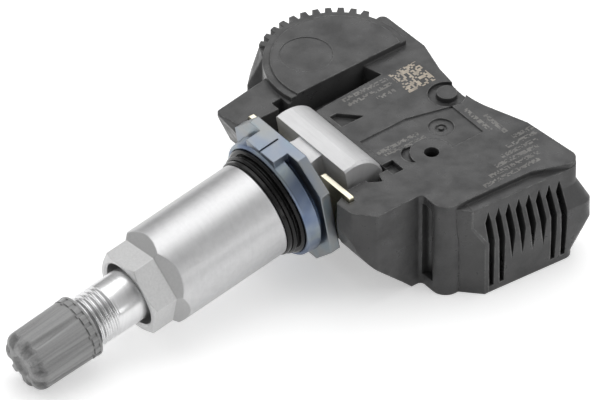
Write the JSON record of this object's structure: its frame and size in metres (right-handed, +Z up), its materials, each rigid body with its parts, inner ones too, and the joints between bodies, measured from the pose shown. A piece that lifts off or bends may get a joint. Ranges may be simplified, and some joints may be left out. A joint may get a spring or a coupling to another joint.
{
  "type": "tyre pressure sensor",
  "caption": "Wheel-mounted tyre pressure sensor with a clamp-in metal valve that swivels in the jaws of a moulded housing.",
  "frame": {"origin": "middle of the whole part seen from above, on the plane that the housing's underside and the cap stand on", "axes": "+Y from the cap to the housing, +Z up out of the housing's top face, +X along the cross-bar towards the finned end"},
  "size_m": [0.0484, 0.0796, 0.0215],
  "materials": {
    "moulding": "fine moulded texture",
    "potting": "cast, slightly glossy",
    "board": "solder mask",
    "cell": "nickel-plated",
    "strap": "nickel strip",
    "chip": "moulded",
    "soft_seal": "silicone",
    "ferrite": "sintered",
    "winding": "enamelled copper",
    "crystal_can": "plated lid",
    "clip_brass": "bright rolled strip",
    "bright_aluminium": "fine turned, bright",
    "satin_aluminium": "satin, brushed along",
    "passivated_steel": "blue passivated with faint rainbow tints",
    "black_rubber": "glossy black",
    "black_plastic": "glossy black",
    "core_brass": "turned",
    "core_steel": "drawn",
    "cap_plastic": "grey moulded"
  },
  "bodies": {
    "housing": {"housing": "moulding", "potting": "potting", "circuit_board": "board", "battery_cell": "cell", "battery_tab_top": "strap", "battery_tab_bottom": "strap", "pressure_chip": "chip", "port_seal": "soft_seal", "ferrite_core": "ferrite", "antenna_coil": "winding", "crystal": "crystal_can", "board_parts": "chip", "retaining_clip": "clip_brass"},
    "valve": {"valve_stem": "bright_aluminium", "collar": "passivated_steel", "grommet": "black_rubber", "core_body": "core_brass"},
    "washer": {"thrust_washer": "black_plastic"},
    "nut": {"union_nut": "satin_aluminium"},
    "seal": {"cap_seal": "soft_seal"},
    "cap": {"valve_cap": "cap_plastic"},
    "plunger": {"core_pin": "core_steel", "core_seal": "soft_seal", "core_spring": "core_steel"}
  },
  "joints": [
    {"name": "valve_swivel", "type": "hinge", "parent": "housing", "child": "valve", "pos_m": [-0.0001, 0.0118, 0.013], "axis": [1, 0, 0], "range_deg": [-10, 3]},
    {"name": "nut_travel", "type": "slide", "parent": "valve", "child": "washer", "axis": [0, -0.9854, -0.1703], "range_m": [0, 0.006]},
    {"name": "nut_turn", "type": "hinge", "parent": "washer", "child": "nut", "pos_m": [-0.0001, 0.00121, 0.01117], "axis": [0, -0.9854, -0.1703], "range_deg": [0, 2880]},
    {"name": "cap_travel", "type": "slide", "parent": "valve", "child": "seal", "axis": [0, -0.9854, -0.1703], "range_m": [0, 0.00476]},
    {"name": "cap_turn", "type": "hinge", "parent": "seal", "child": "cap", "pos_m": [-0.0001, -0.029, 0.00595], "axis": [0, -0.9854, -0.1703], "range_deg": [0, 2160]},
    {"name": "core_plunger", "type": "slide", "parent": "valve", "child": "plunger", "axis": [0, 0.9854, 0.1703], "range_m": [0, 0.0012], "stiffness_N_per_m": 800, "springref_m": -0.0005, "deforming": ["core_spring"]}
  ],
  "couplings": [
    {"joint": "nut_turn", "follows": "nut_travel", "rad_per_m": 8377.6},
    {"joint": "cap_turn", "follows": "cap_travel", "rad_per_m": 7913.3}
  ]
}
